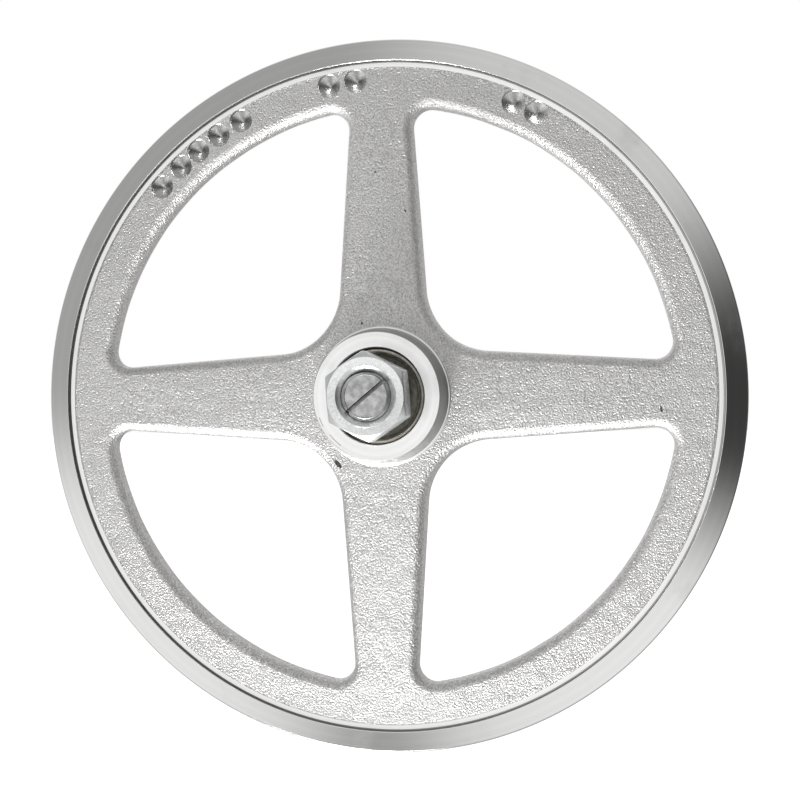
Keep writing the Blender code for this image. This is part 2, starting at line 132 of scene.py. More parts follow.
# Balancing holes.
BALANCE_ANGLES = (60.3, 64.8, 94.3, 99.3, 117.0, 122.0, 126.8, 131.2, 136.4)
BALANCE_R = 158.2
BALANCE_HOLE_R = 5.9
BALANCE_WALL_DEPTH = 2.7
BALANCE_EDGE = 0.2
DRILL_POINT_HALF_ANGLE = math.radians(59)
# Radius of the drill's blunt tip and its height over the point, twice.
DRILL_TIP = ((0.35, 0.2), (0.05, 0.1))

# Hub.
BOSS_R = 31.75
BOSS_FOOT_R = 34.6
BOSS_FOOT_RING = 0.7
BOSS_FOOT_STEP = 0.4
BOSS_FOOT_SKIRT = 0.5
REAR_BOSS_DRAFT = 0.4
REAR_BOSS_FILLET = 2.5
POCKET_R = BEARING_R + GAP
POCKET_MOUTH_R = 24.3
RIDGE_R = 21.4

# Bearings.
BEARING_BORE_R = 12.5
BEARING_HALF_WIDTH = 6.0
BALL_R = 3.5
BALL_PITCH_R = 18.0
BALLS = 10
RACE_R = BALL_R + GAP
RACE_POINTS = 16
INNER_SHOULDER_R = 15.6
OUTER_SHOULDER_R = 20.4
CAGE_INNER_R = 16.7
CAGE_OUTER_R = 19.3
CAGE_TIP_H = 1.2
CAGE_BASE_H = -4.25
CAGE_EDGE = 0.25

# Seals: heights out from the bearing's middle, and places counted from the lip or from the rim.
SEAL_SEAT_R = 22.0
SEAL_SEAT_H = 4.3
SEAL_BACK_H = 4.6
SEAL_RIM_H = 5.2
SEAL_BEAD_H = 5.4
SEAL_BEAD_IN = 0.6
SEAL_HOLLOW_H = 4.95
SEAL_HOLLOW_IN = 0.9
SEAL_HOLLOW_OUT = 4.7
SEAL_BAND_H = 5.45
SEAL_BAND_OUT = (1.6, 4.2)
SEAL_LIP_H = (5.0, 5.15)
SEAL_LIP_WIDTH = 1.0

# Shaft, nut, washer and sleeve.
THREAD_R = 11.9
THREAD_PITCH = 2.0
THREAD_DEPTH = 1.15
THREAD_FLANK = 1.5
THREAD_CREST = 0.22
THREAD_FADE = 2.0
THREAD_CUTS = 16
THREAD_END_H = 21.5
JOURNAL_R = 12.2
JOURNAL_STEP = 0.4
SHAFT_END_R = 10.15
SHAFT_CORE_R = 0.02
SHOULDER_R = 16.0
FLANGE_R = 22.0
FLANGE_FRONT_H = -24.0
FLANGE_BACK_H = -30.0
FLANGE_HALF_ACROSS_FLATS = 19.0
SLOT_WIDTH = 1.9
SLOT_DEPTH = 3.6
SLOT_ANGLE = math.radians(39.4)
CUTTER_LENGTH = 60.0
FLAT_CUT_DEPTH = 10
FLAT_CUT_WIDTH = 8
NUT_HALF_ACROSS_FLATS = 19.05
NUT_TURN = math.radians(3.9)
NUT_CORNER = 90
NUT_EDGE = 110
NUT_FACE_R = 18.6
NUT_CHAMFER_ANGLE = math.radians(30)
NUT_CHAMFER_STEPS = (0.0, 0.06, 0.14, 0.24, 0.36, 0.5, 0.7, 0.9, 1.15, 1.4, 1.7, 2.0, 2.4, 3.0)
NUT_SINK_R = 14.8
NUT_BORE_R = 12.2
WASHER_SPLIT = 2.0
WASHER_SLANT = math.radians(-25)

# Casting flaws as (x, z, half width, half length, lean in degrees), and scratches on the boss's face
# as (radius, angle in degrees, half length in degrees).
NICKS = (
    (-22.6, -33.6, 1.3, 2.7, -40),
    (-9.5, 36.5, 0.5, 0.8, 0),
    (137.0, -7.5, 0.5, 1.6, -12),
    (-2.0, 112.0, 0.4, 0.6, 20),
    (13.0, 92.0, 0.4, 0.7, -30),
)
SCRATCHES = ((30.4, 204, 4.5), (29.9, 226, 7.5))
SCRATCH_HALF_WIDTH = 0.13

# Studio: brightness from every side, and the least that the dark panels leave.
STUDIO_BASE = 0.50
STUDIO_DARKEST = 0.02

# Shares of its reach at which a panel begins to fade and has faded out, and the panels as
# (azimuth, elevation, reach, strength), the first three in degrees.
PANEL_CORE = 0.25
PANEL_EDGE = 1.25
STUDIO_PANELS = (
    (-12, 0, 20, 0.85),
    (-42, -24, 22, 0.66),
    (10, -26, 20, 0.68),
    (54, -40, 24, 0.48),
    (10, 27, 22, 0.36),
    (-14, -40, 20, -0.08),
    (28, 0, 20, -0.45),
    (75, 0, 40, -0.40),
    (-80, 5, 34, 0.08),
    (128, -5, 30, 0.50),
    (215, 5, 44, 0.55),
    (180, 60, 50, 0.40),
)

# Key light, in watts and metres.
KEY_ENERGY = 33.0
KEY_SIZE = 0.60
KEY_PLACE = (-0.43, -0.48, -1.46)

# Floor, in millimetres below the rim, and in metres from its middle to its edge.
FLOOR_GAP = 0.5
FLOOR_HALF_WIDTH = 6.0
FLOOR_GLOW = 0.68

# Camera: places in metres, angles in degrees, lens and sensor in millimetres.
CAMERA_DISTANCE = 0.712
CAMERA_AZIMUTH = 12
CAMERA_PAN = -0.57
CAMERA_TILT = -0.16
CAMERA_ROLL = -0.65
CAMERA_LENS = 63.4
CAMERA_SENSOR = 36.0
CAMERA_RANGE = (0.01, 30.0)

# Material slots of the casting's mesh, and of the shaft's after its own steel.
# SHADED_WALLS faces (the boss's side, the land's groove and the bearing pockets) take a darker copy of the
# turned alloy: painted shade.
CAST, TURNED, HUB_FACE, SHADED_WALLS, DRILLED = range(5)
# The shaft slot's wall and floor slots take darker copies of the shaft steel: painted shade.
SLOT_WALL, SLOT_FLOOR = 1, 2


# ---------------------------------------------------------------- mesh tools

def at(radius, height, angle):
    """A point in metres, from its radius, height and angle from +X towards +Z."""
    return Vector((radius * math.cos(angle), -height, radius * math.sin(angle))) * MM


def rounded(corners):
    """Rows of a closed profile: each corner (radius, height, fillet, slot) becomes an arc."""
    rows = []
    for i, (radius, height, fillet, slot) in enumerate(corners):
        here = Vector((radius, height))
        back = Vector(corners[i - 1][:2]) - here
        ahead = Vector(corners[(i + 1) % len(corners)][:2]) - here
        turn = math.pi - back.angle(ahead)
        if fillet <= 0 or turn < SHARP_TURN:
            rows.append((radius, height, slot))
            continue
        longest = FILLET_SHARE * min(back.length, ahead.length)
        reach = min(fillet * math.tan(turn / 2), longest)
        start = here + back.normalized() * reach
        end = here + ahead.normalized() * reach
        count = max(2, math.ceil(turn / ARC_STEP))
        for k in range(count + 1):
            t = k / count
            point = start * (1 - t) ** 2 + here * 2 * t * (1 - t) + end * t**2
            rows.append((point.x, point.y, slot))
    return rows


def lathe(name, rows, steps=RING_STEPS, shape=None, closed=True):
    """A turned mesh of (radius, height, slot) rows; shape(radius, height, angle) may pull a row in."""
    bm = bmesh.new()
    rings = []
    for radius, height, _ in rows:
        ring = []
        for j in range(steps):
            angle = math.tau * j / steps
            own = shape(radius, height, angle) if shape else radius
            ring.append(bm.verts.new(at(own, height, angle)))
        rings.append(ring)
    last = len(rows) if closed else len(rows) - 1
    for i in range(last):
        upper, lower = rings[i], rings[(i + 1) % len(rings)]
        for j in range(steps):
            k = (j + 1) % steps
            face = bm.faces.new((upper[j], lower[j], lower[k], upper[k]))
            face.material_index = rows[i][2]
    if not closed:
        bm.faces.new(rings[0])
        bm.faces.new(rings[-1][::-1]).material_index = rows[-1][2]
    bmesh.ops.remove_doubles(bm, verts=bm.verts, dist=JOIN_DISTANCE)
    return finished(bm, name)


def loft(bm, rings, slot):
    """A closed body through rings of points, capped at both ends."""
    loops = [[bm.verts.new(point) for point in ring] for ring in rings]
    made = []
    for upper, lower in zip(loops, loops[1:]):
        for i in range(len(upper)):
            j = (i + 1) % len(upper)
            made.append(bm.faces.new((upper[i], lower[i], lower[j], upper[j])))
    made.append(bm.faces.new(loops[0]))
    made.append(bm.faces.new(loops[-1][::-1]))
    for face in made:
        face.material_index = slot


def finished(bm, name):
    """A mesh of a bmesh, with its faces pointing out."""
    bmesh.ops.recalc_face_normals(bm, faces=bm.faces)
    mesh = bpy.data.meshes.new(name)
    bm.to_mesh(mesh)
    bm.free()
    return mesh


def cut(mesh, *cutters):
    """The mesh with each cutter mesh taken out of it, and the slivers that this leaves."""
    obj = bpy.data.objects.new("being_cut", mesh)
    bpy.context.collection.objects.link(obj)
    helpers = [obj]
    for cutter in cutters:
        helper = bpy.data.objects.new("cutter", cutter)
        bpy.context.collection.objects.link(helper)
        helpers.append(helper)
        boolean = obj.modifiers.new("cut", "BOOLEAN")
        boolean.operation = "DIFFERENCE"
        boolean.solver = "MANIFOLD"
        boolean.object = helper
    bpy.context.view_layer.update()
    evaluated = obj.evaluated_get(bpy.context.evaluated_depsgraph_get())
    result = bpy.data.meshes.new_from_object(evaluated)
    name = mesh.name
    for helper in helpers:
        used = helper.data
        bpy.data.objects.remove(helper, do_unlink=True)
        bpy.data.meshes.remove(used)
    bm = bmesh.new()
    bm.from_mesh(result)
    bmesh.ops.dissolve_degenerate(bm, dist=SLIVER_DISTANCE, edges=bm.edges)
    bm.to_mesh(result)
    bm.free()
    result.name = name
    return result


def dress(mesh, materials):
    """The same mesh with its material slots filled."""
    for material in materials:
        mesh.materials.append(material)
    return mesh


def show(mesh, body, slot, *replaced):
    """Put a finished mesh in the scene: it rides on a body and stands for CAD nodes."""
    mesh.shade_smooth()
    mesh.set_sharp_from_angle(angle=math.radians(40))
    obj = bpy.data.objects.new(mesh.name, mesh)
    bpy.context.scene.collection.objects.link(obj)
    normals = obj.modifiers.new("even_shading", "WEIGHTED_NORMAL")
    normals.mode = "FACE_AREA"
    normals.weight = 100
    normals.keep_sharp = True
    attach(obj, body)
    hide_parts(*replaced)
    return obj


# ---------------------------------------------------------------- materials

class Nodes:
    """Builds one material's node tree."""

    def __init__(self, name):
        self.material = bpy.data.materials.new(name)
        self.material.use_nodes = True
        self.tree = self.material.node_tree
        self.shader = self.tree.nodes["Principled BSDF"]
        self.place = self.add("ShaderNodeTexCoord").outputs["Object"]

    def add(self, kind, inputs=None, **settings):
        """A new node with its settings and inputs; an input is a value or another node's output."""
        made = self.tree.nodes.new(kind)
        for key, value in settings.items():
            setattr(made, key, value)
        for key, value in (inputs or {}).items():
            if isinstance(value, bpy.types.NodeSocket):
                self.tree.links.new(value, made.inputs[key])
            else:
                made.inputs[key].default_value = value
        return made

    def math(self, operation, first, second=0.0, third=0.0):
        """The result of one operation on up to three numbers or outputs."""
        return self.add("ShaderNodeMath", {0: first, 1: second, 2: third}, operation=operation).outputs[0]

    def ramp(self, value, low, high, to_low=0.0, to_high=1.0):
        """A value eased from one range to another."""
        inputs = {"Value": value, "From Min": low, "From Max": high, "To Min": to_low, "To Max": to_high}
        return self.add("ShaderNodeMapRange", inputs, interpolation_type="SMOOTHSTEP").outputs[0]

    def noise(self, size, detail=2.0, roughness=0.5):
        """Noise whose patches are about size millimetres across."""
        scale = 1 / (size * MM)
        inputs = {"Vector": self.place, "Scale": scale, "Detail": detail, "Roughness": roughness}
        return self.add("ShaderNodeTexNoise", inputs).outputs["Fac"]

    def cells(self, size):
        """Distance to the nearest of points scattered about size millimetres apart."""
        inputs = {"Vector": self.place, "Scale": 1 / (size * MM)}
        return self.add("ShaderNodeTexVoronoi", inputs).outputs["Distance"]

    def length(self, vector):
        """Length of a vector output."""
        return self.add("ShaderNodeVectorMath", {0: vector}, operation="LENGTH").outputs["Value"]

    def axis_radius(self):
        """Distance from the wheel's axis, in millimetres."""
        inputs = {0: self.place, 1: (1 / MM, 0, 1 / MM)}
        flat = self.add("ShaderNodeVectorMath", inputs, operation="MULTIPLY").outputs[0]
        return self.length(flat)

    def rings(self, pitch, detail):
        """Turning marks: uneven rings round the axis, about pitch millimetres apart."""
        inputs = {"W": self.axis_radius(), "Scale": 1 / pitch, "Detail": detail}
        return self.add("ShaderNodeTexNoise", inputs, noise_dimensions="1D").outputs["Fac"]

    def blend(self, amount, first, second):
        """A colour between two, which are colours or outputs."""
        made = self.add("ShaderNodeMix", {"Factor": amount}, data_type="RGBA")
        for place, colour in ((6, first), (7, second)):
            if isinstance(colour, bpy.types.NodeSocket):
                self.tree.links.new(colour, made.inputs[place])
            else:
                made.inputs[place].default_value = (*colour, 1.0)
        return made.outputs[2]

    def away(self, x, z, half_width, half_length, lean):
        """Distance from a spot on the front face, 1 at the edge of its leaning ellipse."""
        inputs = {
            "Vector": self.place,
            "Location": (x * MM, -WEB_FRONT_H * MM, z * MM),
            "Rotation": (0, math.radians(lean), 0),
            "Scale": (half_width * MM, WEB_FRONT_H / 2 * MM, half_length * MM),
        }
        return self.length(self.add("ShaderNodeMapping", inputs, vector_type="TEXTURE").outputs[0])

    def scratch(self, radius, degrees, half_length):
        """1 on a fine arc on the front face and 0 off it; the arc stays clear of 180 degrees."""
        parts = self.add("ShaderNodeSeparateXYZ", {0: self.place}).outputs
        turn = self.math("ARCTAN2", parts["Z"], parts["X"])
        centre = math.remainder(math.radians(degrees), math.tau)
        on_arc = self.math("COMPARE", turn, centre, math.radians(half_length))
        on_front = self.math("MULTIPLY", on_arc, self.math("LESS_THAN", parts["Y"], 0.0))
        on_radius = self.math("COMPARE", self.axis_radius(), radius, SCRATCH_HALF_WIDTH)
        return self.math("MULTIPLY", on_front, on_radius)

    def bump(self, height, depth):
        """A surface normal from a height output, depth in millimetres for a height of 1."""
        inputs = {"Height": height, "Distance": depth * MM, "Strength": 1.0}
        return self.add("ShaderNodeBump", inputs).outputs["Normal"]

    def finish(self, colour, roughness, normal=None, tangent=None, **constants):
        """Link what varies to the shader, set what doesn't, and return the material."""
        linked = {"Base Color": colour, "Roughness": roughness, "Normal": normal, "Tangent": tangent}
        for key, value in linked.items():
            if isinstance(value, bpy.types.NodeSocket):
                self.tree.links.new(value, self.shader.inputs[key])
            elif value is not None:
                self.shader.inputs[key].default_value = value
        for key, value in constants.items():
            self.shader.inputs[key].default_value = value
        return self.material


def cast_material():
    """Sand-cast alloy: a sharp grain over coarser pits, a soft unevenness and a few torn nicks, whose dents
    are painted nearly black as shade.
    """
    n = Nodes("sand_cast_alloy")
    grain = n.noise(0.85, 2.0, 0.55)
    fine = n.noise(0.45, 1.0)
    pits = n.ramp(n.cells(2.1), 0.04, 0.40)
    swell = n.noise(11.0, 2.0)
    height = n.math("MULTIPLY_ADD", fine, 0.35, grain)
    height = n.math("MULTIPLY_ADD", pits, 0.30, height)
    height = n.math("MULTIPLY_ADD", swell, 1.2, height)
    tone = n.blend(n.ramp(grain, 0.30, 0.70), (0.54, 0.535, 0.525), (0.85, 0.845, 0.835))
    tone = n.blend(n.ramp(n.noise(34.0, 2.0), 0.40, 0.75, 0.0, 0.18), tone, (0.60, 0.59, 0.57))
    specks = n.ramp(n.cells(8.5), 0.02, 0.06)
    tone = n.blend(specks, (0.16, 0.15, 0.14), tone)
    ragged = n.math("MULTIPLY_ADD", n.noise(0.9, 3.0, 0.7), 1.3, -0.65)
    # Inside each nick the bump sinks the surface and the colour goes nearly black: painted shade in the
    # dent.
    for nick in NICKS:
        outside_dent_and_shade = n.ramp(n.math("ADD", n.away(*nick), ragged), 0.75, 1.15)
        tone = n.blend(outside_dent_and_shade, (0.10, 0.095, 0.09), tone)
        height = n.math("MULTIPLY_ADD", outside_dent_and_shade, 1.5, height)
    roughness = n.ramp(grain, 0.3, 0.7, 0.50, 0.38)
    return n.finish(tone, roughness, n.bump(height, 0.52), Metallic=1.0)


def turned_material(name, pitch, tone, roughness, depth, anisotropic, scratches=()):
    """Machined metal with turning marks round the axis, faint stains and a few scratches."""
    n = Nodes(name)
    marks = n.rings(pitch, 4.0)
    broad = n.rings(pitch * 6, 2.0)
    stain = n.noise(22.0, 4.0, 0.6)
    dark = tuple(c * 0.94 for c in tone)
    colour = n.blend(n.ramp(broad, 0.3, 0.7), dark, tone)
    colour = n.blend(n.ramp(stain, 0.52, 0.78, 0.0, 0.30), colour, tuple(c * 0.72 for c in tone))
    for scratch in scratches:
        colour = n.blend(n.scratch(*scratch), colour, (0.20, 0.19, 0.18))
    rough = n.ramp(marks, 0.3, 0.7, roughness * 0.92, roughness * 1.08)
    rough = n.math("ADD", rough, n.ramp(stain, 0.5, 0.8, 0.0, 0.10))
    tangent = n.add("ShaderNodeTangent", direction_type="RADIAL", axis="Y").outputs[0]
    return n.finish(colour, rough, n.bump(marks, depth), tangent, Metallic=1.0, Anisotropic=anisotropic)


def drilled_material():
    """The bright cones that a drill leaves, with marks that run round each hole."""
    n = Nodes("drilled_alloy")
    lay = n.add("ShaderNodeAttribute", attribute_name="drill_lay").outputs["Vector"]
    spaces = {"vector_type": "VECTOR", "convert_from": "OBJECT", "convert_to": "WORLD"}
    tangent = n.add("ShaderNodeVectorTransform", {0: lay}, **spaces).outputs[0]
    grain = n.noise(0.8, 3.0, 0.6)
    tone = n.blend(n.ramp(grain, 0.35, 0.7), (0.55, 0.55, 0.54), (0.84, 0.84, 0.83))
    rough = n.ramp(grain, 0.3, 0.7, 0.30, 0.20)
    return n.finish(tone, rough, n.bump(grain, 0.03), tangent, Metallic=1.0, Anisotropic=0.75)


def steel_material(name, tone, roughness, mottle, size):
    """Plated or oiled steel, mottled in patches of a size, with fine handling marks."""
    n = Nodes(name)
    patches = n.noise(size, 4.0, 0.65)
    fine = n.noise(0.5, 2.0)
    dark = tuple(c * (1 - mottle) for c in tone)
    colour = n.blend(n.ramp(patches, 0.35, 0.68), dark, tone)
    rough = n.ramp(patches, 0.3, 0.7, roughness * 1.25, roughness * 0.85)
    return n.finish(colour, rough, n.bump(fine, 0.02), Metallic=1.0)


def rubber_material():
    """Moulded seal rubber with a thin oily shine."""
    n = Nodes("seal_rubber")
    dust = n.noise(2.0, 3.0, 0.6)
    colour = n.blend(n.ramp(dust, 0.35, 0.7), (0.060, 0.057, 0.044), (0.115, 0.108, 0.086))
    return n.finish(colour, n.ramp(dust, 0.3, 0.7, 0.36, 0.52), n.bump(n.noise(0.4), 0.02), Metallic=0.0)


def nylon_material():
    """Natural moulded nylon."""
    n = Nodes("cage_nylon")
    cloud = n.noise(3.0, 2.0)
    colour = n.blend(cloud, (0.36, 0.32, 0.22), (0.52, 0.47, 0.34))
    return n.finish(colour, n.ramp(cloud, 0.3, 0.7, 0.42, 0.55), n.bump(n.noise(0.6), 0.02), Metallic=0.0)


# ---------------------------------------------------------------- the casting

def arc(centre, radius, start, end, count):
    """Points on an arc from one angle to another, both ends included."""
    angles = [start + (end - start) * i / count for i in range(count + 1)]
    return [Vector((centre[0] + radius * math.cos(a), centre[1] + radius * math.sin(a))) for a in angles]


def window_outline(grow):
    """Outline of the window between +X and +Z, moved out into the metal by grow."""
    normal = Vector((math.sin(SPOKE_TAPER), math.cos(SPOKE_TAPER)))
    along = Vector((math.cos(SPOKE_TAPER), -math.sin(SPOKE_TAPER)))
    side = SPOKE_HALF_WIDTH_AT_AXIS * math.cos(SPOKE_TAPER)
    across = side + WINDOW_CORNER_R
    corner = normal * across + along * math.sqrt((WINDOW_OUTER_R - WINDOW_CORNER_R) ** 2 - across**2)
    corner_angle = math.atan2(corner.y, corner.x)
    side_angle = math.atan2(-normal.y, -normal.x)
    hub = (side + WINDOW_HUB_FILLET_R) / math.cos(QUARTER / 2 - SPOKE_TAPER)
    diagonal = Vector((hub, hub)) * math.cos(QUARTER / 2)
    corner_r, hub_r = WINDOW_CORNER_R + grow, WINDOW_HUB_FILLET_R + grow
    outline = arc((0, 0), WINDOW_OUTER_R + grow, QUARTER - corner_angle, corner_angle, OUTER_STEPS)[1:-1]
    outline += arc(corner, corner_r, corner_angle, side_angle, CORNER_STEPS)
    outline += arc(diagonal, hub_r, side_angle, -3 * QUARTER - side_angle, HUB_STEPS)
    outline += arc(corner.yx, corner_r, QUARTER - side_angle, QUARTER - corner_angle, CORNER_STEPS)
    return outline


def swell(radius):
    """How far the web's faces stand out at a radius, from nothing at the rim to most at the hub."""
    share = (RIM_WALL_R - radius) / (RIM_WALL_R - BOSS_FOOT_R)
    return WEB_SWELL * min(1.0, max(0.0, share))


def window_sections():
    """Height, growth and swell sign down a window: rounded edges either side of the parting line."""
    def edge(face_h, sign):
        middle = face_h - sign * EDGE_ROUND
        sections = []
        for k in range(EDGE_SECTIONS):
            angle = QUARTER * k / EDGE_SECTIONS
            grow = PARTING_DRAFT + EDGE_ROUND * (1 - math.cos(angle))
            sections.append((middle + sign * EDGE_ROUND * math.sin(angle), grow, sign))
        last_h, last_grow, _ = sections[-1]
        sections.append((last_h + sign * CUT_FLARE_H, last_grow + CUT_FLARE, sign))
        sections.append((face_h + sign * (WEB_SWELL + CUT_CLEAR), last_grow + CUT_FLARE, 0))
        return sections

    return edge(WEB_FRONT_H, 1)[::-1] + [(PARTING_H, 0.0, 0)] + edge(WEB_BACK_H, -1)


def window_cutter():
    """The four windows, with the slight waver of a sand mould in their outlines."""
    bm = bmesh.new()
    for quarter in range(4):
        turn = Matrix.Rotation(QUARTER * quarter, 2)
        rings = []
        for height, grow, sign in window_sections():
            ring = []
            for point in window_outline(grow):
                spot = turn @ point
                waver = noise.noise(Vector((spot.x, spot.y, 0)) / WINDOW_WAVER_LENGTH) * WINDOW_WAVER
                spot *= 1 + waver / spot.length
                ring.append(Vector((spot.x, -height - sign * swell(spot.length), spot.y)) * MM)
            rings.append(ring)
        loft(bm, rings, CAST)
    return finished(bm, "windows")


def drill_cutter():
    """The balancing drill's shape at each hole: broken edge, short wall, then a point."""
    bm = bmesh.new()
    base = WEB_FRONT_H - BALANCE_WALL_DEPTH
    tip = base - BALANCE_HOLE_R / math.tan(DRILL_POINT_HALF_ANGLE)
    shape = [
        (BALANCE_HOLE_R + BALANCE_EDGE / 2, WEB_FRONT_H + 3 * BALANCE_EDGE),
        (BALANCE_HOLE_R, WEB_FRONT_H - BALANCE_EDGE),
        (BALANCE_HOLE_R, base),
        *[(radius, tip + up) for radius, up in DRILL_TIP],
    ]
    angles = [math.tau * j / HOLE_STEPS for j in range(HOLE_STEPS)]
    for degrees in BALANCE_ANGLES:
        centre = at(BALANCE_R, 0, math.radians(degrees))
        rings = [[centre + at(*ring, angle) for angle in angles] for ring in shape]
        loft(bm, rings, DRILLED)
    return finished(bm, "drills")


def casting_rows():
    """Section of the casting, from the front pocket's mouth over the rim to the rear pocket.

    Each corner is its radius, its height, the fillet there and the material of the face that follows.
    """
    foot_h = WEB_FRONT_H + WEB_SWELL
    rear_foot_h = WEB_BACK_H - WEB_SWELL
    front_floor_h = FRONT_BEARING_H - BEARING_HALF_WIDTH - GAP
    rear_floor_h = REAR_BEARING_H + BEARING_HALF_WIDTH + GAP
    mouth = POCKET_MOUTH_R - POCKET_R
    groove_h = LAND_H - LAND_GROOVE_DEPTH
    corners = [
        (POCKET_MOUTH_R, BOSS_FRONT_H, 0.15, HUB_FACE),
        (BOSS_R, BOSS_FRONT_H, 0.3, SHADED_WALLS),
        (BOSS_FOOT_R - BOSS_FOOT_RING, foot_h + BOSS_FOOT_STEP, 0.4, HUB_FACE),
        (BOSS_FOOT_R, foot_h + BOSS_FOOT_STEP, 0.3, HUB_FACE),
        (BOSS_FOOT_R + BOSS_FOOT_SKIRT, foot_h, 0.4, CAST),
        (RIM_WALL_R, WEB_FRONT_H, 0.0, CAST),
        (WEB_EDGE_R, WEB_FRONT_H, 0.8, CAST),
        (WEB_EDGE_R + LAND_LIP, LAND_H, 0.5, TURNED),
        (LAND_R, LAND_H, 0.1, SHADED_WALLS),
        (LAND_R, groove_h, 0.1, SHADED_WALLS),
        (BAND_INNER_R - BAND_WALL_DRAFT, groove_h, 0.1, SHADED_WALLS),
        (BAND_INNER_R, RIM_HALF_WIDTH, 0.4, TURNED),
        (RIM_R - RIM_EDGE, BAND_OUTER_H, 0.3, TURNED),
        (RIM_R, BAND_OUTER_H - RIM_EDGE, 0.3, TURNED),
        (RIM_R, GROOVE_HALF_WIDTH, 0.5, TURNED),
        (GROOVE_FLOOR_R, GROOVE_FLOOR_HALF_WIDTH, 0.6, TURNED),
        (GROOVE_FLOOR_R, -GROOVE_FLOOR_HALF_WIDTH, 0.6, TURNED),
        (RIM_R, -GROOVE_HALF_WIDTH, 0.5, TURNED),
        (RIM_R, RIM_EDGE - BAND_OUTER_H, 0.3, TURNED),
        (RIM_R - RIM_EDGE, -BAND_OUTER_H, 0.3, TURNED),
        (BAND_INNER_R, -RIM_HALF_WIDTH, 0.45, TURNED),
        (LAND_R, -LAND_H, 0.3, CAST),
        (RIM_WALL_R + RIM_WALL_TOP, -LAND_H, 3.0, CAST),
        (RIM_WALL_R - RIM_WALL_FOOT, WEB_BACK_H, 3.5, CAST),
        (BOSS_FOOT_R, rear_foot_h, REAR_BOSS_FILLET, CAST),
        (BOSS_R + REAR_BOSS_DRAFT, rear_foot_h - REAR_BOSS_FILLET, 1.5, CAST),
        (BOSS_R, BOSS_BACK_H, 0.6, HUB_FACE),
        (POCKET_MOUTH_R, BOSS_BACK_H, 0.15, SHADED_WALLS),
        (POCKET_R, BOSS_BACK_H + mouth, 0.2, SHADED_WALLS),
        (POCKET_R, rear_floor_h, 0.3, SHADED_WALLS),
        (RIDGE_R, rear_floor_h, 0.3, SHADED_WALLS),
        (RIDGE_R, front_floor_h, 0.3, SHADED_WALLS),
        (POCKET_R, front_floor_h, 0.3, SHADED_WALLS),
        (POCKET_R, BOSS_FRONT_H - mouth, 0.2, SHADED_WALLS),
    ]
    return rounded(corners)


def mark_drill_lay(mesh):
    """Store on the drilled faces' points the direction that runs round their own hole."""
    centres = [at(BALANCE_R, 0, math.radians(degrees)) for degrees in BALANCE_ANGLES]
    lay = mesh.attributes.new("drill_lay", "FLOAT_VECTOR", "POINT")
    drilled = {i for p in mesh.polygons if p.material_index == DRILLED for i in p.vertices}
    for i in drilled:
        spot = mesh.vertices[i].co
        nearest = min(centres, key=lambda c: (spot.x - c.x) ** 2 + (spot.z - c.z) ** 2)
        out = Vector((spot.x - nearest.x, 0, spot.z - nearest.z))
        lay.data[i].vector = Vector((-out.z, 0, out.x)).normalized()


def make_casting(materials):
    """The wheel: one casting, turned on the rim and the hub."""
    slots = [materials[name] for name in ("cast", "band", "hub_face", "shaded_walls", "drilled")]
    blank = dress(lathe("cast_wheel", casting_rows(), RIM_STEPS), slots)
    mesh = cut(blank, dress(window_cutter(), slots), dress(drill_cutter(), slots))
    mark_drill_lay(mesh)
    show(mesh, "wheel", "cast_alloy", "wheel_casting")


# ---------------------------------------------------------------- bearings

def ring_rows(outer_r, inner_r, top, bottom, edge=0.4):
    """Section of a plain ring with rounded edges."""
    return rounded([(outer_r, top, edge, 0), (outer_r, bottom, edge, 0), (inner_r, bottom, edge, 0),
                    (inner_r, top, edge, 0)])


def race_arc(shoulder_r, centre_h):
    """The ball groove's section, from its front lip to its rear lip."""
    half = math.acos((shoulder_r - BALL_PITCH_R) / RACE_R)
    sweep = -2 * half if shoulder_r > BALL_PITCH_R else 2 * (math.pi - half)
    rows = []
    for i in range(RACE_POINTS + 1):
        angle = half + sweep * i / RACE_POINTS
        rows.append((BALL_PITCH_R + RACE_R * math.cos(angle), centre_h + RACE_R * math.sin(angle), 0.0, 0))
    return rows


def make_bearing(prefix, centre_h, materials):
    """One sealed ball bearing: two rings, two seals, a cage and its balls."""
    top, bottom = centre_h + BEARING_HALF_WIDTH, centre_h - BEARING_HALF_WIDTH
    seat_top, seat_bottom = centre_h + SEAL_SEAT_H, centre_h - SEAL_SEAT_H
    outer = [
        (BEARING_R, top, 0.7, 0),
        (BEARING_R, bottom, 0.7, 0),
        (SEAL_SEAT_R, bottom, 0.2, 0),
        (SEAL_SEAT_R, seat_bottom, 0.1, 0),
        (OUTER_SHOULDER_R, seat_bottom, 0.1, 0),
        *race_arc(OUTER_SHOULDER_R, centre_h)[::-1],
        (OUTER_SHOULDER_R, seat_top, 0.1, 0),
        (SEAL_SEAT_R, seat_top, 0.1, 0),
        (SEAL_SEAT_R, top, 0.2, 0),
    ]
    inner = [
        (INNER_SHOULDER_R, top, 0.3, 0),
        *race_arc(INNER_SHOULDER_R, centre_h),
        (INNER_SHOULDER_R, bottom, 0.3, 0),
        (BEARING_BORE_R, bottom, 0.5, 0),
        (BEARING_BORE_R, top, 0.5, 0),
    ]
    steel = [materials["ring_steel"]]
    outer_race = dress(lathe(f"{prefix}_outer_race", rounded(outer)), steel)
    inner_race = dress(lathe(f"{prefix}_inner_race", rounded(inner)), steel)
    show(outer_race, "wheel", "bearing_steel", f"{prefix}_bearing_outer_ring")
    show(inner_race, "shaft_assembly", "bearing_steel", f"{prefix}_bearing_inner_ring")
    for side, sign in (("outboard", 1), ("inboard", -1)):
        facing = sign if prefix == "front" else -sign
        seal = lathe(f"{prefix}_{side}_lip_seal", seal_rows(centre_h, facing))
        show(dress(seal, [materials["rubber"]]), "wheel", "seal_rubber", f"{prefix}_{side}_seal")
    make_balls(prefix, centre_h, materials)
    make_cage(prefix, centre_h, materials)


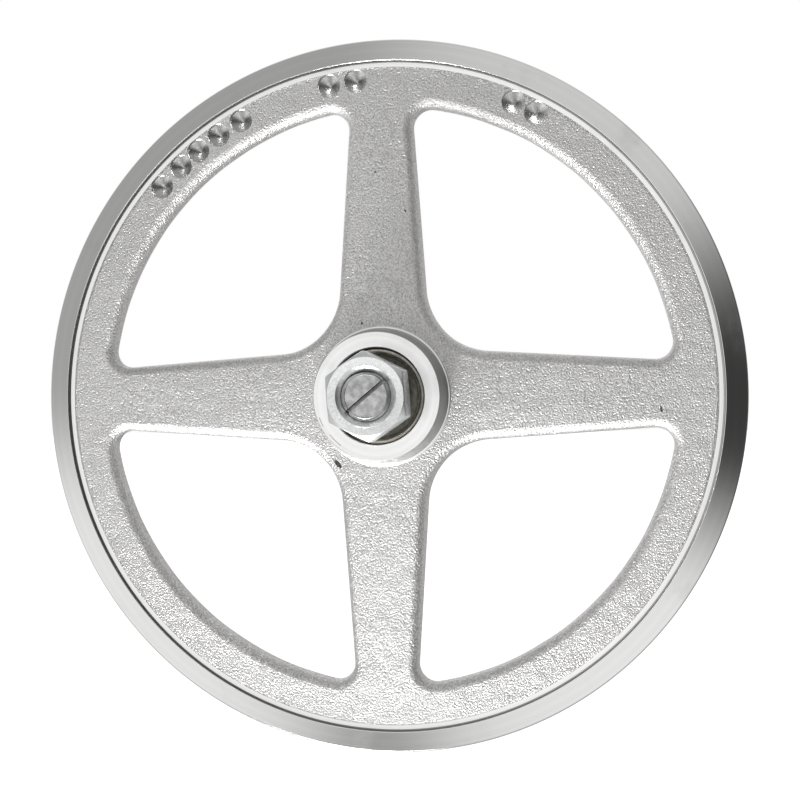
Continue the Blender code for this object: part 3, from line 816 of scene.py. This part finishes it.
def seal_rows(centre_h, facing):
    """Section of a seal: a beaded outer edge, a hollow, a raised band and a sloping lip."""
    lip, rim = INNER_SHOULDER_R + GAP, SEAL_SEAT_R - GAP
    band_start, band_end = SEAL_BAND_OUT
    lip_h, slope_h = SEAL_LIP_H
    corners = [
        (rim, SEAL_RIM_H, 0.3),
        (rim, SEAL_BACK_H, 0.1),
        (lip, SEAL_BACK_H, 0.1),
        (lip, lip_h, 0.15),
        (lip + SEAL_LIP_WIDTH, slope_h, 0.2),
        (lip + band_start, SEAL_BAND_H, 0.3),
        (lip + band_end, SEAL_BAND_H, 0.3),
        (lip + SEAL_HOLLOW_OUT, SEAL_HOLLOW_H, 0.2),
        (rim - SEAL_HOLLOW_IN, SEAL_HOLLOW_H, 0.2),
        (rim - SEAL_BEAD_IN, SEAL_BEAD_H, 0.2),
    ]
    ordered = corners[::facing]
    return rounded([(radius, centre_h + facing * height, fillet, 0) for radius, height, fillet in ordered])


def make_balls(prefix, centre_h, materials):
    """A bearing's ten balls, in one mesh."""
    bm = bmesh.new()
    for k in range(BALLS):
        spot = Matrix.Translation(at(BALL_PITCH_R, centre_h, math.tau * k / BALLS))
        bmesh.ops.create_icosphere(bm, subdivisions=BALL_SUBDIVISIONS, radius=BALL_R * MM, matrix=spot)
    nodes = [f"{prefix}_ball_{k + 1:02d}" for k in range(BALLS)]
    balls = dress(finished(bm, f"{prefix}_balls"), [materials["ball_steel"]])
    show(balls, f"{prefix}_ball_set", "ball_steel", *nodes)


def make_cage(prefix, centre_h, materials):
    """A snap-in cage with a round pocket for each ball."""
    rows = ring_rows(CAGE_OUTER_R, CAGE_INNER_R, centre_h + CAGE_TIP_H, centre_h + CAGE_BASE_H, CAGE_EDGE)
    bm = bmesh.new()
    for k in range(BALLS):
        spot = Matrix.Translation(at(BALL_PITCH_R, centre_h, math.tau * k / BALLS))
        bmesh.ops.create_icosphere(bm, subdivisions=BALL_SUBDIVISIONS, radius=RACE_R * MM, matrix=spot)
    mesh = cut(lathe(f"{prefix}_cage", rows), finished(bm, "pockets"))
    show(dress(mesh, [materials["nylon"]]), f"{prefix}_ball_set", "cage_nylon", f"{prefix}_ball_cage")


# ---------------------------------------------------------------- shaft and fasteners

def thread_radius(height, angle):
    """Radius of a screw thread's surface, with flattened crests and roots."""
    turn = (height / THREAD_PITCH + angle / math.tau) % 1.0
    flank = abs(turn * 2 - 1)
    return THREAD_R - THREAD_DEPTH * min(1.0, max(0.0, flank * THREAD_FLANK - THREAD_CREST))


def threaded_rows(top, bottom):
    """Rows between two heights of a threaded stretch, close enough to carry the thread."""
    count = round((top - bottom) * THREAD_CUTS / THREAD_PITCH)
    return [(THREAD_R, top + (bottom - top) * i / count, 0) for i in range(1, count)]


def shaft_rows():
    """Section of the shaft, from its front end to the stud's end."""
    chamfer = THREAD_R - SHAFT_END_R
    front_h, back_h = SHAFT_FRONT_H - chamfer, SHAFT_BACK_H + chamfer
    shoulder_h = REAR_BEARING_H - BEARING_HALF_WIDTH - GAP
    rows = rounded([
        (SHAFT_END_R, SHAFT_FRONT_H, 0.35, 0),
        (THREAD_R, front_h, 0, 0),
        (THREAD_R, THREAD_END_H, 0, 0),
        (JOURNAL_R, THREAD_END_H - JOURNAL_STEP, 0, 0),
        (JOURNAL_R, shoulder_h, 0.1, 0),
        (SHOULDER_R, shoulder_h, 0.4, 0),
        (SHOULDER_R, FLANGE_FRONT_H, 0.4, 0),
        (FLANGE_R, FLANGE_FRONT_H, 0.7, 0),
        (FLANGE_R, FLANGE_BACK_H, 0.7, 0),
        (THREAD_R, FLANGE_BACK_H, 0, 0),
        (THREAD_R, back_h, 0, 0),
        (SHAFT_END_R, SHAFT_BACK_H, 0.3, 0),
    ])
    for top, bottom in ((front_h, THREAD_END_H), (FLANGE_BACK_H, back_h)):
        after = next(i for i, row in enumerate(rows) if row[:2] == (THREAD_R, top)) + 1
        rows[after:after] = threaded_rows(top, bottom)
    return [(SHAFT_CORE_R, SHAFT_FRONT_H, 0), *rows, (SHAFT_CORE_R, SHAFT_BACK_H, 0)]


def shaft_shape(radius, height, angle):
    """Cut the thread into the front end and the stud, fading out at their inner ends."""
    inside = max(height - THREAD_END_H, FLANGE_BACK_H - height)
    if inside <= 0 or radius > THREAD_R:
        return radius
    fade = min(1.0, inside / THREAD_FADE)
    return min(radius, THREAD_R + (thread_radius(height, angle) - THREAD_R) * fade)


def box_cutter(name, centre, size, turn=0.0):
    """A box of a size round a centre, then turned about the wheel's axis."""
    bm = bmesh.new()
    place = Matrix.Translation(Vector(centre) * MM) @ Matrix.Diagonal((*[side * MM for side in size], 1))
    bmesh.ops.create_cube(bm, size=1.0, matrix=Matrix.Rotation(-turn, 4, "Y") @ place)
    return finished(bm, name)


def make_shaft(materials):
    """Stub shaft with its slotted end, threads, shoulder and flange with two flats."""
    finishes = [materials[name] for name in ("shaft_steel", "slot_wall_shade", "slot_floor_shade")]
    blank = dress(lathe("slotted_shaft", shaft_rows(), SHAFT_STEPS, shaft_shape, closed=False), finishes)
    slot_size = (CUTTER_LENGTH, 2 * SLOT_DEPTH, SLOT_WIDTH)
    slot = box_cutter("slot", (0, -SHAFT_FRONT_H, 0), slot_size, SLOT_ANGLE)
    # The slot's walls and floor take darker copies of the shaft steel, the walls darkest: painted shade in
    # the slot.
    for face in dress(slot, finishes).polygons:
        face.material_index = SLOT_FLOOR if abs(face.normal.y) > 0.5 else SLOT_WALL
    flange_h = (FLANGE_FRONT_H + FLANGE_BACK_H) / 2
    flat_size = (FLAT_CUT_DEPTH, FLAT_CUT_WIDTH, CUTTER_LENGTH)
    flats = []
    for side in (-1, 1):
        centre = (side * (FLANGE_HALF_ACROSS_FLATS + FLAT_CUT_DEPTH / 2), -flange_h, 0)
        flats.append(dress(box_cutter("flat", centre, flat_size), finishes))
    mesh = cut(blank, slot, *flats)
    show(mesh, "shaft_assembly", "turned_steel", "stub_shaft")


def hexagon_radius(angle):
    """Radius of a hexagon with slightly softened corners."""
    sides = [math.cos(angle - NUT_TURN - math.tau * k / 6) for k in range(6)]
    total = sum(max(0.0, side) ** NUT_CORNER for side in sides)
    return NUT_HALF_ACROSS_FLATS / total ** (1 / NUT_CORNER)


def make_nut(materials):
    """Hexagon jam nut: flats, chamfers that cut them in curves, and countersinks."""
    slope = math.tan(NUT_CHAMFER_ANGLE)
    sink = NUT_SINK_R - NUT_BORE_R
    waist_r = NUT_FACE_R + NUT_CHAMFER_STEPS[-1] / slope
    rows = [(NUT_FACE_R + down / slope, NUT_FRONT_H - down, 0) for down in NUT_CHAMFER_STEPS]
    rows.append((waist_r, (NUT_FRONT_H + NUT_BACK_H) / 2, 0))
    rows += [(NUT_FACE_R + up / slope, NUT_BACK_H + up, 0) for up in NUT_CHAMFER_STEPS[::-1]]
    rows += rounded([
        (NUT_SINK_R, NUT_BACK_H, 0.2, 0),
        (NUT_BORE_R, NUT_BACK_H + sink, 0.1, 0),
        (NUT_BORE_R, NUT_FRONT_H - sink, 0.1, 0),
        (NUT_SINK_R, NUT_FRONT_H, 0.25, 0),
    ])

    def shape(radius, _, angle):
        if radius < NUT_FACE_R:
            return radius
        return (radius**-NUT_EDGE + hexagon_radius(angle) ** -NUT_EDGE) ** (-1 / NUT_EDGE)

    mesh = lathe("hex_jam_nut", rows, NUT_STEPS, shape)
    show(dress(mesh, [materials["nut_steel"]]), "shaft_assembly", "plated_steel", "jam_nut")


def splitter(outer_r, top, bottom):
    """The slanted cut through one side of a lock washer."""
    bm = bmesh.new()
    centre = Matrix.Translation(Vector((outer_r, -(top + bottom) / 2, 0)) * MM)
    slant = Matrix.Rotation(WASHER_SLANT, 4, "X")
    size = Matrix.Diagonal((outer_r * MM, 4 * (top - bottom) * MM, WASHER_SPLIT * MM, 1))
    bmesh.ops.create_cube(bm, size=1.0, matrix=centre @ slant @ size)
    return finished(bm, "split")


def make_small_rings(materials):
    """Split lock washer, clamping sleeve and the spacer between the inner rings."""
    rings = (
        ("split_lock_washer", "lock_washer", "plated_steel", "nut_steel"),
        ("sleeve", "clamping_sleeve", "turned_steel", "shaft_steel"),
        ("spacer_tube", "bearing_spacer", "turned_steel", "shaft_steel"),
    )
    for name, node, slot, finish in rings:
        outer_r, top, bottom = node_size(node)
        mesh = lathe(name, ring_rows(outer_r, BEARING_BORE_R, top, bottom))
        if node == "lock_washer":
            mesh = cut(mesh, splitter(outer_r, top, bottom))
        show(dress(mesh, [materials[finish]]), "shaft_assembly", slot, node)


# ---------------------------------------------------------------- stage, light and camera

def make_stage():
    """A plain pale floor under the wheel. Reflections and the light pass through it."""
    n = Nodes("pale_floor")
    colour = n.blend(n.noise(400.0), (0.90, 0.90, 0.90), (0.93, 0.93, 0.93))
    glow = {"Emission Color": (1, 1, 1, 1), "Emission Strength": FLOOR_GLOW}
    bm = bmesh.new()
    bmesh.ops.create_grid(bm, x_segments=1, y_segments=1, size=FLOOR_HALF_WIDTH)
    mesh = dress(finished(bm, "floor"), [n.finish(colour, 0.9, **glow)])
    floor = bpy.data.objects.new("floor", mesh)
    floor.location.z = -(RIM_R + FLOOR_GAP) * MM
    bpy.context.scene.collection.objects.link(floor)
    floor.visible_glossy = False
    floor.visible_shadow = False


def direction(azimuth, elevation):
    """Unit vector away from the wheel: degrees round from its front to the right, and degrees up."""
    a, e = math.radians(azimuth), math.radians(elevation)
    return Vector((math.sin(a) * math.cos(e), -math.cos(a) * math.cos(e), math.sin(e)))


def make_world():
    """A pale studio: soft bright and dark panels round the wheel, and plain white where it is looked at."""
    world = bpy.data.worlds.new("studio")
    bpy.context.scene.world = world
    world.use_nodes = True
    tree = world.node_tree
    tree.nodes.clear()

    def add(kind, inputs=None, **settings):
        made = tree.nodes.new(kind)
        for key, value in settings.items():
            setattr(made, key, value)
        for key, value in (inputs or {}).items():
            if isinstance(value, bpy.types.NodeSocket):
                tree.links.new(value, made.inputs[key])
            else:
                made.inputs[key].default_value = value
        return made.outputs

    heading = add("ShaderNodeTexCoord")["Generated"]
    total = STUDIO_BASE
    for azimuth, elevation, reach, strength in STUDIO_PANELS:
        towards = {0: heading, 1: direction(azimuth, elevation)}
        fade = {
            "Value": add("ShaderNodeVectorMath", towards, operation="DOT_PRODUCT")["Value"],
            "From Min": math.cos(math.radians(reach * PANEL_EDGE)),
            "From Max": math.cos(math.radians(reach * PANEL_CORE)),
            "To Max": strength,
        }
        faded = add("ShaderNodeMapRange", fade, interpolation_type="SMOOTHERSTEP")[0]
        total = add("ShaderNodeMath", {0: faded, 1: total}, operation="ADD")[0]
    lit = add("ShaderNodeMath", {0: total, 1: STUDIO_DARKEST}, operation="MAXIMUM")[0]
    studio = add("ShaderNodeBackground", {"Strength": lit})[0]
    white = add("ShaderNodeBackground", {"Color": (1, 1, 1, 1), "Strength": 1.0})[0]
    looked_at = add("ShaderNodeLightPath")["Is Camera Ray"]
    mixed = add("ShaderNodeMixShader", {0: looked_at, 1: studio, 2: white})[0]
    add("ShaderNodeOutputWorld", {"Surface": mixed})


def make_key():
    """One square light low on the front left, which picks out the casting's grain."""
    key = bpy.data.lights.new("key", "AREA")
    key.energy = KEY_ENERGY
    key.size = KEY_SIZE
    lamp = bpy.data.objects.new("key", key)
    lamp.location = KEY_PLACE
    lamp.rotation_euler = (-lamp.location).to_track_quat("-Z", "Y").to_euler()
    bpy.context.scene.collection.objects.link(lamp)


def make_camera():
    """The camera: level with the hub, a little to the right, close enough to show the depth."""
    data = bpy.data.cameras.new("camera")
    data.lens = CAMERA_LENS
    data.sensor_width = CAMERA_SENSOR
    data.clip_start, data.clip_end = CAMERA_RANGE
    camera = bpy.data.objects.new("camera", data)
    back = direction(CAMERA_AZIMUTH, 0)
    look = (-back).to_track_quat("-Z", "Y").to_matrix().to_4x4()
    aim = Matrix.Identity(4)
    for degrees, axis in ((CAMERA_PAN, "Y"), (CAMERA_TILT, "X"), (CAMERA_ROLL, "Z")):
        aim = aim @ Matrix.Rotation(math.radians(degrees), 4, axis)
    camera.matrix_world = Matrix.Translation(back * CAMERA_DISTANCE) @ look @ aim
    bpy.context.scene.collection.objects.link(camera)
    bpy.context.scene.camera = camera
    bpy.context.scene.view_settings.view_transform = "Standard"


def make_materials():
    """Every material of the object, by its short name."""
    return {
        "cast": cast_material(),
        "band": turned_material("turned_band", 0.5, (0.84, 0.84, 0.83), 0.12, 0.0012, 0.2),
        "hub_face": turned_material("machined_hub", 0.35, (0.95, 0.95, 0.945), 0.34, 0.0006, 0.2, SCRATCHES),
        # A darker copy of the turned alloy for walls, grooves and pockets: painted shade; its turning marks
        # are real.
        "shaded_walls": turned_material("shaded_wall_alloy", 0.4, (0.50, 0.50, 0.49), 0.35, 0.003, 0.4),
        "drilled": drilled_material(),
        "ring_steel": steel_material("ring_steel", (0.42, 0.40, 0.36), 0.30, 0.2, 3.0),
        "ball_steel": steel_material("ball_steel", (0.70, 0.70, 0.70), 0.08, 0.05, 3.0),
        "shaft_steel": steel_material("shaft_steel", (0.60, 0.60, 0.60), 0.34, 0.34, 3.2),
        # Darker copies of the shaft steel for the slot's walls and floor: painted shade.
        "slot_wall_shade": steel_material("slot_wall_shade", (0.10, 0.10, 0.10), 0.40, 0.3, 2.0),
        "slot_floor_shade": steel_material("slot_floor_shade", (0.34, 0.34, 0.34), 0.40, 0.3, 2.0),
        "nut_steel": steel_material("nut_steel", (0.97, 0.98, 0.98), 0.30, 0.16, 1.0),
        "rubber": rubber_material(),
        "nylon": nylon_material(),
    }


def main():
    materials = make_materials()
    make_casting(materials)
    make_bearing("front", FRONT_BEARING_H, materials)
    make_bearing("rear", REAR_BEARING_H, materials)
    make_shaft(materials)
    make_nut(materials)
    make_small_rings(materials)
    make_stage()
    make_world()
    make_key()
    make_camera()


main()
